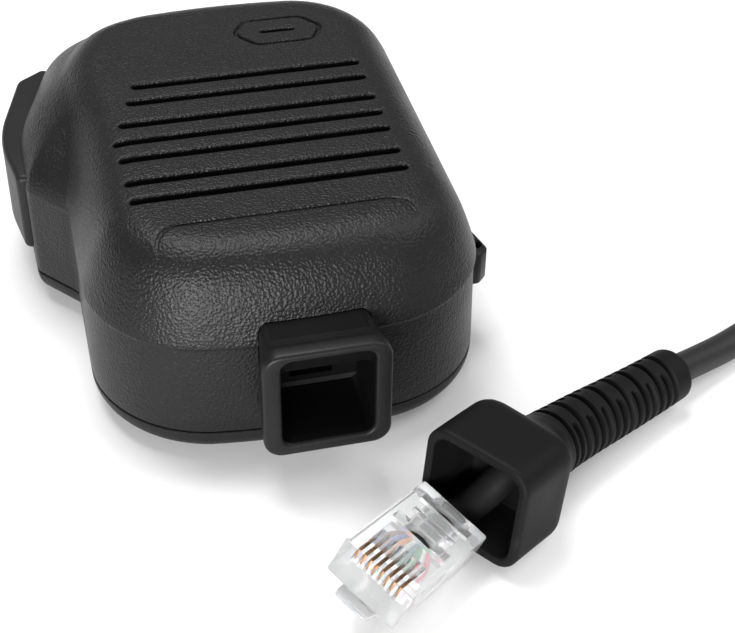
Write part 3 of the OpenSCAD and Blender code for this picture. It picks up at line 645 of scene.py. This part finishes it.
def plug_pieces(prefix, frame_place, names):
    turn_by, place = frame_place

    def put(points):
        return points @ turn_by.T + place

    def piece(name, shape, skin, body="microphone", smooth=30):
        return mesh_piece(prefix + name, put(shape[0]), shape[1], skin, body, smooth)

    half, top = PLUG_W / 2, PLUG_H / 2
    body = piece("plug_clear", block(0, PLUG_LEN, -half, half, -top, top, 0.35), CLEAR)
    shapes = [block(-1, 6.4, y - 0.27, y + 0.27, top - 2.2, top + 1) for y in WAYS]
    shapes += [block(x0, x1, -w, w, top - deep, top + 1)
               for x0, x1, w, deep in ((9.6, 11.6, 4.6, 1.4), (16.6, 18.1, 4.2, 1.2), (13.4, 14.6, 3.6, 0.5))]
    c, s = circle(28)
    shapes.append(loft([np.column_stack([np.full(28, x), r * c * 1.3, -0.2 + r * s])
                        for x, r in ((11.0, 0.4), (11.05, 2.3), (14.0, 2.48), (21, 2.5))]))
    shapes.append(block(5.0, 11.5, -4.4, 4.4, -1.5, -0.1))
    carve(body, [(put(points), faces) for points, faces in shapes])
    soften(body, 30)
    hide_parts(names["body"])
    made = [body]
    # Contacts: a blade and its shoulder in each slot
    points, faces = [], []
    for y in WAYS:
        for x0, x1, z0, z1 in ((0.7, 3.3, top - 2.15, top - 0.45), (3.0, 5.6, top - 2.15, top - 1.3)):
            p, f = block(x0, x1, y - 0.17, y + 0.17, z0, z1, 0.08)
            faces += [tuple(i + len(points) for i in g) for g in f]
            points += list(p)
    contacts = piece("plug_blades", (np.array(points), faces), GOLD)
    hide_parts(names["contacts"])
    made.append(contacts)
    # Wires: eight coloured cores that gather into the jacket
    first = None
    for k, (y, colour) in enumerate(zip(WAYS, CORES)):
        run = smooth_route([(5.2, y, -0.75), (7.4, y, -0.72), (9.4, y * 0.86, -0.66), (11.2, y * 0.5, -0.4),
                            (12.6, y * 0.34, -0.2 + 0.8 * (k % 2) - 0.4)], 4)
        rings = []
        for i, q in enumerate(run):
            d = unit(run[min(i + 1, len(run) - 1)] - run[max(i - 1, 0)])
            rings.append(across(q, d, 0.43, 12))
        wire = piece("wire_%d" % (k + 1), loft(rings), WIRES[colour], smooth=60)
        first = first or wire
        made.append(wire)
    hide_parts(names["wires"])
    # Latch: a thin tongue that widens to its root
    hinge = np.array([1.2, 0, -top - 0.15])
    rings = [np.array([(x, -w, z0), (x, w, z0), (x, w, z1), (x, -w, z1)]) @ turn_y(LATCH_LEAN).T + hinge
             for x, w, z0, z1 in LATCH]
    latch = piece("plug_latch_clear", loft(rings), CLEAR, body=names["latch_body"], smooth=30)
    shape = latch.modifiers.new("bevel", "BEVEL")
    shape.width, shape.segments, shape.limit_method = 0.00018, 2, "ANGLE"
    apply_modifiers(latch)
    soften(latch, 40)
    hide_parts(names["latch"])
    made.append(latch)
    return made


near_plug = plug_pieces("", plug_turn((-1.3, -84.7, 10.2), (20, -15.5, 42.5)), {
    "body": "plug_body", "contacts": "plug_contacts", "wires": "plug_wires", "latch": "plug_latch",
    "latch_body": "plug_latch_arm"})
far_plug = plug_pieces("radio_", plug_turn((145, -2, PLUG_H / 2 + 0.05), (180, 0, -90)), {
    "body": "radio_plug_body", "contacts": "radio_plug_contacts", "wires": "radio_plug_wires",
    "latch": "radio_plug_latch", "latch_body": "radio_plug_latch_arm"})


def radio_boot_piece():
    n = 72
    c, s = circle(n)
    rings = []
    profile = [(0, 2.4), (0, 3.0), (0.15, 3.2), (0.5, 3.3), (6, 3.3)]
    profile += [(x, 3.3 - 0.25 * (x - 6) / 16 - (0.5 if (x - 7) % 2.2 < 0.9 and x < 20 else 0))
                for x in np.arange(6.2, 21.6, 0.22)]
    profile += [(22, 3.0), (22.4, 2.85), (22.6, 2.6), (22.6, 2.35)]
    for x, r in profile:
        centre = np.array([145, -22 - x, PLUG_H / 2 + 0.25 - max(0, x - 8) * 0.012])
        rings.append(centre + np.column_stack([r * c, np.zeros(n), r * s]))
    points, faces = loft(rings, caps=(False, False))
    piece = mesh_piece("radio_boot", points, [f[::-1] for f in faces], RUBBER, smooth=40)
    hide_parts("radio_plug_boot")
    return piece


radio_boot = radio_boot_piece()

# ---------- the front shell ----------

LEFT_W, RIGHT_W, TOP_Y, END_Y = 31, 28.6, 35.8, -48.6
BODY_H, SEAM_Z, CREASE_Z, SHOULDER_W, WALL = 34, 5, 21, 10.5, 2.2
SOCKET_Z, COLLAR_HALF, COLLAR_R = 16, 9.25, 2.8
MAIN = [(-LEFT_W, END_Y + 3.4, 19), (-2, END_Y, 90), (RIGHT_W, END_Y + 3.2, 19),
        (RIGHT_W, TOP_Y - 2.6, 19), (-1, TOP_Y, 120), (-LEFT_W, TOP_Y - 2.8, 20)]
HUMP = [(-29.6, -26, 1), (8, -26, 1), (8, 34.6, 1), (-29.5, 37.2, 11), (-37.4, 10.5, 30), (-36.9, -2.4, 2.5),
        (-30.6, -10, 5)]
# The hump's rounding: distance in from its edge and height over the crease
HUMP_EDGE = np.array([(0, 0.2), (0.5, 1.9), (1.5, 3.7), (3.6, 6.0), (6.4, 8.4), (9.6, 10.5), (12.8, 11.8),
                      (15.5, 12.4)])
SLOT_ROWS = (3.7, -1.0, -7.2, -11.9, -16.6, -22.8, -27.5)
SLOT_LEFT = (-18.5, -19.9, -21.8, -23.2, -22.9, -22.8, -22.7)
SLOT_RIGHT, SLOT_W, SLOT_RIM = 18.5, 1.75, 0.3
# How a slot narrows under its rim: width added on each side and depth
SLOT_SIDES = ((0.16, 0.02), (0.07, 0.08), (0.01, 0.18), (0.0, 0.4), (0.0, 1.6), (0.0, 3.1))
# The outer walls: height and inset, with a shallow groove under the crease
WALL_SIDES = ((20.86, 0.02), (20.7, 0.12), (20.55, 0.3), (20.35, 0.42), (20.0, 0.42), (18, 0.25), (12, 0.12),
              (8, 0.04), (5.5, 0.0), (5.22, 0.06), (5.15, 0.2))
LABEL = box_corners(-20.6, 17.2, -42.8, -34.2, 4.2)
LABEL_DEEP, LABEL_GAP = 0.5, 0.38
PORT = [(3.2, 12.4, 2.4), (13.2, 12.4, 2.4), (15.4, 16.8, 2.2), (12.2, 21.2, 2.4), (2.4, 21.2, 2.4),
        (-0.2, 16.8, 2.2)]
PORT_GROOVE = 0.7
PORT_SLOT = (4.7, 10.5, 16.8, 1.0)
PTT = [(-33.4, 0, 0.6), (-31.4, 13, 20), (-27.6, 26.6, 1.5), (-28.4, 32.2, 1.6), (-31.6, 33.6, 1),
       (-35.9, 30.4, 2.5), (-40.4, 13, 30), (-38.2, 0, 1.2)]
PTT_GAP = 0.4


def shoulder(u):
    """The shoulder's curve: distance in from the edge and height, for u from 0 to 1."""
    points = np.array([(0, CREASE_Z), (2.6, CREASE_Z + 8.5), (4.4, BODY_H), (SHOULDER_W, BODY_H)], float)
    weights = np.array([(1 - u) ** 3, 3 * (1 - u) ** 2 * u, 3 * (1 - u) * u * u, u ** 3])
    return weights @ points


SHOULDER = np.array([shoulder(u) for u in np.linspace(0, 1, 60)])


def hump_at(e):
    """The hump's corners for the ring at inset e: its lower end leans back and grows rounder."""
    return [(x, y + (0.45 * e if k > 3 else 0), r + (0.45 * e if k > 3 else 0))
            for k, (x, y, r) in enumerate(HUMP)]


HUMP_TOP = smooth_route(np.column_stack([HUMP_EDGE, np.zeros(len(HUMP_EDGE))]), 4)[:, :2]
HUMP_RINGS = [(outline(hump_at(e), e, 8), CREASE_Z + h) for e, h in HUMP_TOP]
MAIN_LOOP = outline(MAIN, 0, 24)


def main_height(points):
    d = depth_in(points, MAIN_LOOP)
    z = np.interp(d, SHOULDER[:, 0], SHOULDER[:, 1])
    return np.where(d < 0, CREASE_Z + 3.3 * d, z)


def hump_height(points):
    """Height of the hump's top: each point lies where one of its rings passes."""
    z = np.full(len(points), CREASE_Z - 30.0)
    before = None
    for loop, height in HUMP_RINGS:
        d = depth_in(points, loop)
        if before is None:
            z = np.where(d < 0, height + 4 * d, height)
        else:
            last, last_height = before
            share = np.clip(last / np.maximum(last - d, 1e-9), 0, 1)
            between = last_height + share * (height - last_height)
            z = np.where(last >= 0, np.where(d >= 0, height, between), z)
        before = (d, height)
    return np.where(before[0] > 0, height - 0.9 * before[0], z)


def soft_hump(points):
    """The hump's height, averaged over a small disc away from its edge."""
    z = hump_height(points)
    reach = 4.2 * np.clip((depth_in(points, HUMP_RINGS[0][0]) - 0.5) / 5, 0, 1)
    total = z.copy()
    for k in range(12):
        a = k * math.pi / 6
        r = reach * (0.35, 0.7, 1)[k % 3]
        total += hump_height(points + r[:, None] * np.array([math.cos(a), math.sin(a)]))
    return total / 13


def smooth_max(a, b, k):
    near = np.clip(k - np.abs(a - b), 0, None) / k
    return np.maximum(a, b) + near * near * k / 4


def step_down(d, width=0.16):
    """0 outside an edge and 1 inside it, with a small rounding."""
    t = np.clip((d + width / 2) / width, 0, 1)
    return t * t * (3 - 2 * t)


def label_height(points):
    """The label recess's floor: the skin moved in and down the slope, so it runs out at its lower side."""
    fade = 0.55 + 0.45 * np.clip((points[:, 1] + 46) / 12, 0, 1)
    return main_height(points + np.array([0, 0.55])) - LABEL_DEEP * fade


def top_height(points):
    hump = np.full(len(points), -9.0)
    near = points[:, 0] < 2
    hump[near] = soft_hump(points[near])
    z = np.minimum(smooth_max(main_height(points), hump, 3.2), BODY_H)
    under = np.minimum(z, label_height(points))
    z = z - (z - under) * step_down(depth_in(points, outline(LABEL, 0, 10)))
    port = depth_in(points, outline(PORT, 0, 10))
    return z - 0.5 * step_down(port) * (1 - step_down(port - PORT_GROOVE))


def slot_loop(x0, x1, y, w, step=1.0):
    """The outline of a slot's rim, to the right along its upper side."""
    r = w / 2 + SLOT_RIM
    a = np.linspace(-math.pi / 2, math.pi / 2, 9)
    right_end = np.column_stack([x1 - w / 2 + r * np.cos(a), y + r * np.sin(a)])
    left_end = np.column_stack([x0 + w / 2 - r * np.cos(a), y - r * np.sin(a)])
    xs = np.arange(x0 + w / 2 + step, x1 - w / 2 - step / 2, step)
    low = np.column_stack([xs, np.full(len(xs), y - r)])
    high = np.column_stack([xs[::-1], np.full(len(xs), y + r)])
    return np.vstack([right_end, high, left_end, low])


SLOTS = [(x0, SLOT_RIGHT, y, SLOT_W) for x0, y in zip(SLOT_LEFT, SLOT_ROWS)]
SLOTS.append(PORT_SLOT)


def thinned(firm, loose, gap=0.22, cell=0.3):
    """The loose points that lie further than gap from every firm point and every loose one kept before."""
    taken = {}
    for p in firm:
        taken.setdefault((int(p[0] // cell), int(p[1] // cell)), []).append(p)
    kept = []
    for p in loose:
        i, j = int(p[0] // cell), int(p[1] // cell)
        near = [q for a in (-1, 0, 1) for b in (-1, 0, 1) for q in taken.get((i + a, j + b), ())]
        if all((q[0] - p[0]) ** 2 + (q[1] - p[1]) ** 2 >= gap * gap for q in near):
            taken.setdefault((i, j), []).append(p)
            kept.append(p)
    return np.array(kept)


def shell_plan():
    """The flat mesh under the front's top: its points and faces, with the slots left open."""
    holes = [slot_loop(*s) for s in SLOTS]
    main_loop = spaced(outline(MAIN, 0, 40), 0.8)
    hump_loop = spaced(outline(HUMP, 0, 16), 0.6)
    fixed = [main_loop, hump_loop, *holes]
    for corners in (LABEL, PORT):
        fixed += [spaced(outline(corners, e, 10), 0.55) for e in (-0.12, -0.04, 0.04, 0.12)]
    fixed += [spaced(outline(PORT, PORT_GROOVE + e, 10), 0.55) for e in (-0.12, -0.04, 0.04, 0.12)]
    # Loose points: rings inwards from each edge, then an even grid
    loose = [spaced(outline(MAIN, e, 40), 0.75 + 0.03 * e) for e in (
        0.08, 0.2, 0.36, 0.56, 0.8, 1.1, 1.45, 1.85, 2.3, 2.8, 3.4, 4.1, 4.9, 5.8, 6.8, 7.9, 9.1, 10.5)]
    loose += [spaced(outline(hump_at(e), e, 16), 0.7) for e in (0.12, 0.3, 0.5, 0.8, 1.2, 1.7)]
    step = 0.85
    gx, gy = np.meshgrid(np.arange(-40, 40, step), np.arange(-52, 40, step))
    gx = gx + 0.42 * (np.arange(gx.shape[0]) % 2)[:, None]
    loose = np.vstack([*loose, np.column_stack([gx.ravel(), gy.ravel()])])
    loose = loose[(depth_in(loose, main_loop) > 0.06) | (depth_in(loose, hump_loop) > 0.06)]
    for hole in holes:
        loose = loose[depth_in(loose, hole) < -0.25]
    edges, start = [], 0
    for loop in fixed:
        n = len(loop)
        edges += [(start + i, start + (i + 1) % n) for i in range(n)]
        start += n
    firm = np.vstack(fixed)
    flat, faces = triangles(np.vstack([firm, thinned(firm, loose)]), edges, 0)
    middle = flat[faces].mean(axis=1)
    keep = (depth_in(middle, main_loop) > 0) | (depth_in(middle, hump_loop) > 0)
    for hole in holes:
        keep &= depth_in(middle, hole) < 0
    used, faces = np.unique(faces[keep], return_inverse=True)
    return flat[used], faces.reshape(-1, 3), main_loop


def shell_piece():
    flat, faces, main_loop = shell_plan()
    follow = dict(open_edges(faces))
    loops = []
    while follow:
        u, v = follow.popitem()
        loop = [u]
        while v != u:
            loop.append(v)
            v = follow.pop(v)
        loops.append(loop)
    loops.sort(key=len, reverse=True)
    outer, inner = loops[0], loops[1:]
    points = np.column_stack([flat, top_height(flat)])
    hump_side = depth_in(flat[outer], main_loop) < -0.05
    points[outer, 2] = np.where(hump_side, CREASE_Z + 0.2, CREASE_Z)
    all_points = [points]
    all_faces = [tuple(f) for f in faces]
    count = len(points)

    def extend(ids, rings):
        """Adds rings below an open edge and closes them; its direction keeps the skin facing out."""
        nonlocal count
        n = len(ids)
        for r in rings:
            new = list(range(count, count + n))
            all_points.append(r)
            count += n
            for i in range(n):
                j = (i + 1) % n
                all_faces.append((ids[j], ids[i], new[i], new[j]))
            ids = new
        all_faces.append(tuple(reversed(ids)))

    # Walls: no groove where the hump is, but the lip at the seam goes all round
    edge = points[outer, :2]
    around = np.roll(edge, -1, axis=0) - np.roll(edge, 1, axis=0)
    inward = np.column_stack([-around[:, 1], around[:, 0]]) / np.linalg.norm(around, axis=1)[:, None]
    share = np.where(hump_side, 0.0, 1.0)
    share = np.convolve(np.concatenate([share[-3:], share, share[:3]]), np.ones(7) / 7, mode="valid")
    whole = np.ones(len(edge))
    extend(outer, [level(edge + inward * (inset * (share if z > SEAM_Z + 0.4 else whole))[:, None], z)
                   for z, inset in WALL_SIDES])
    for loop in inner:
        at = points[loop]
        mx, my = at[:, 0].mean(), at[:, 1].mean()
        x0, x1, y, w = min(SLOTS, key=lambda s: abs(s[2] - my) + abs((s[0] + s[1]) / 2 - mx) * 0.1)
        axis = np.column_stack([np.clip(at[:, 0], x0 + w / 2, x1 - w / 2), np.full(len(at), y)])
        out = at[:, :2] - axis
        out /= np.linalg.norm(out, axis=1)[:, None]
        extend(loop, [np.column_stack([axis + out * (w / 2 + grow), at[:, 2] - drop])
                      for grow, drop in SLOT_SIDES])
    piece = mesh_piece("case_front", np.vstack(all_points), all_faces, SHELL, smooth=180)
    # The inside of the body and of the hump, the talk bar's window and the collar's seat
    main_inside = [ring(MAIN, WALL, SEAM_Z - 1, 10), ring(MAIN, WALL + 0.3, CREASE_Z - 0.3, 10)]
    for u in np.linspace(0, 1, 8):
        inset, z = shoulder(u)
        inset = min(inset, SHOULDER_W - 0.01) + WALL * (1 - 0.25 * u)
        main_inside.append(ring(MAIN, inset, z - WALL * u, 10))
    hump_inside = [ring(HUMP, WALL, SEAM_Z - 1, 6)]
    hump_inside += [ring(hump_at(e), e + WALL * (1 - e / 40), h + CREASE_Z - WALL * e / 16, 6)
                    for e, h in HUMP_EDGE]
    window = (7.6, 22.4)
    seat = outline(collar_square(), 1, 8)
    carve(piece, [loft(main_inside), loft(hump_inside),
                  loft([ring(PTT, -PTT_GAP, z, 8) for z in window]), block(-39.6, -31.6, -1.1, 1.9, *window),
                  loft([upright(seat, -y) for y in (END_Y - 2, END_Y + 6)])])
    soften(piece, 42)
    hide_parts("front_shell")


# ---------- the collar, the talk bar, the rear cover and the eye ----------


def upright(loop, y):
    """A ring of the collar: an outline across the body, at a distance from its middle."""
    return np.column_stack([loop[:, 0], np.full(len(loop), -float(y)), SOCKET_Z + loop[:, 1]])


def collar_square():
    return box_corners(-COLLAR_HALF, COLLAR_HALF, -COLLAR_HALF, COLLAR_HALF, COLLAR_R)


def collar_piece():
    mouth = box_corners(-6.8, 7, -7.4, 8.2, 1.8)
    throat = box_corners(-6.7, 6.9, -7.2, 4.4, 1.2)
    profile = [(1.3, 44), (1.22, 45.6), (1.15, 47.2), (0.9, 49.4), (0.62, 51.4), (0.42, 52.8), (0.3, 53.2),
               (0.08, 53.6), (0, 54), (0, 55.35), (0.05, 55.6), (0.16, 55.8), (0.32, 55.93), (0.52, 56)]
    outer = loft([upright(outline(collar_square(), e, 10), d) for e, d in profile])
    piece = mesh_piece("collar", *outward(*outer), COLLAR)
    carve(piece, [block(-10.4, 10.4, -44.8, -44, 7, 21.4)], "UNION")
    carve(piece, [loft([upright(outline(corners, e, 10), d) for corners, e, d in (
        (throat, 0, 40), (throat, 0, 53.4), (mouth, 0.2, 55.5), (mouth, 0.1, 55.75), (mouth, -0.05, 55.92),
        (mouth, -0.3, 56.03))])])
    soften(piece, 40)
    # Painted shade: the throat's faces get the near-black inner plastic, so the opening reads dark
    piece.data.materials.clear()
    for look in (COLLAR, INNER):
        piece.data.materials.append(look)
    for face in piece.data.polygons:
        x, y, z = face.center * MM - Vector((*SHIFT[:2], SOCKET_Z))
        face.material_index = int(abs(x - 0.1) < 7.1 and abs(z) < 8.5 and -55.2 < y < -41)
    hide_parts("connector_collar")


def talk_bar_piece():
    low, high, r = 8.0, 22.0, 0.9
    rings = [ring(PTT, r * inset, low + r * rise, 12) for inset, rise in quarter(6)]
    rings += [ring(PTT, 0, z, 12) for z in (11, 15, 19)]
    rings += [ring(PTT, r * inset, high - r * rise, 12) for inset, rise in quarter(6)[::-1]]
    piece = mesh_piece("talk_bar", *outward(*loft(rings)), BUTTON, body="ptt")
    carve(piece, [block(-33.2, -31.9, -2.2, 2.8, 10, 20), block(-34.4, -31.9, 1.2, 2.8, 10, 20)], "UNION")
    carve(piece, [turned(-29.2, 29.3, [(0.8, 7), (0.8, 23)], 24)])
    soften(piece, 40)
    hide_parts("ptt_button")


SCREWS = ((-21, -32), (21, -32), (21.5, 25), (-17, 27))
STUD_WELL = (0, 4)


def rear_cover_piece():
    edge = 5.5

    def forms(t, top, steps):
        """The body's and the hump's part of the cover, moved in by t on all sides."""
        made = []
        for corners, n in ((MAIN, 20), (HUMP, 10)):
            rings = [ring(corners, t + edge * inset, t + (top - t - 0.4) * rise, n)
                     for inset, rise in quarter(steps)]
            rings.append(ring(corners, t, top - 0.12, n))
            rings.append(ring(corners, t + (0.14 if t == 0 else 0), top, n))
            made.append(loft(rings))
        return made

    main, hump = forms(0, SEAM_Z - 0.15, 12)
    piece = mesh_piece("case_back", *outward(*main), COVER)
    carve(piece, [hump], "UNION")
    carve(piece, forms(2, SEAM_Z + 1, 6))
    carve(piece, [turned(*STUD_WELL, [(15.8, 0.5), (15.8, 7.1)], 96),
                  *[turned(x, y, [(4, 1), (4, 4.85)]) for x, y in SCREWS]], "UNION")
    well = [(14.5, -1), (14.5, 0.02), (14.15, 0.3), (14, 0.7), (14, 6.0), (13.6, 6.4)]
    carve(piece, [turned(*STUD_WELL, well, 96), turned(*STUD_WELL, [(1.6, 0), (1.6, 12)], 32)])
    for x, y in SCREWS:
        carve(piece, [turned(x, y, [(3.1, -1), (3.1, 0.02), (2.75, 0.3), (2.7, 2.2)]),
                      turned(x, y, [(1.5, 0), (1.5, 9)], 32)])
    soften(piece, 40)
    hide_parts("rear_cover")


def eye_piece():
    corners = [(26, -28.4, 0.3), (30.5, -28.4, 1.2), (32.2, -26.6, 1.3), (31, -21.6, 1), (28.3, -18.8, 0.4),
               (26, -18.8, 0.3)]
    rings = [ring(corners, e, z, 8) for e, z in (
        (0.35, 10.4), (0.1, 10.5), (0, 10.75), (0, 15.7), (0.15, 16.0), (0.5, 16.2))]
    piece = mesh_piece("eye", *outward(*loft(rings)), COLLAR)
    hole = [(1.3, 9), (1.3, 10.42), (1.02, 10.7), (1.0, 11), (1.0, 15.6), (1.05, 15.95), (1.3, 16.22),
            (1.3, 18)]
    carve(piece, [turned(30.3, -25.4, hole, 40)])
    soften(piece, 40)
    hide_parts("lanyard_eye")


def label_piece():
    """The plain panel in the label recess: it thins out down the shoulder."""
    loops = [spaced(outline(LABEL, LABEL_GAP + e, 12), 0.5) for e in (0, 0.06, 0.15, 0.4)]
    gx, gy = np.meshgrid(np.arange(-21, 18, 0.7), np.arange(-43, -34, 0.7))
    grid = np.column_stack([gx.ravel(), gy.ravel()])
    grid = grid[depth_in(grid, outline(LABEL, 0, 12)) > 1.0]
    n = len(loops[0])
    flat, faces = triangles(np.vstack([*loops, grid]), [(i, (i + 1) % n) for i in range(n)], 1)
    d = depth_in(flat, outline(LABEL, LABEL_GAP, 12))
    rounding = 0.14 * (1 - np.clip(d / 0.3, 0, 1)) ** 2
    deep = label_height(flat)
    skin = np.minimum(main_height(flat), BODY_H)
    top = np.where(deep > skin - 0.08, skin - 0.06, np.maximum(skin - 0.15 - rounding, deep + 0.02))
    bottom = np.minimum(deep, top) - 0.05
    n = len(flat)
    faces = [tuple(f) for f in faces]
    both = faces + [tuple(i + n for i in f[::-1]) for f in faces]
    both += [(v, u, u + n, v + n) for u, v in sorted(open_edges(faces))]
    points = np.vstack([np.column_stack([flat, z]) for z in (top, bottom)])
    piece = mesh_piece("label_panel", points, both, FILM, smooth=50)
    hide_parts("label_plate")


for make in (shell_piece, collar_piece, talk_bar_piece, rear_cover_piece, eye_piece, label_piece):
    make()
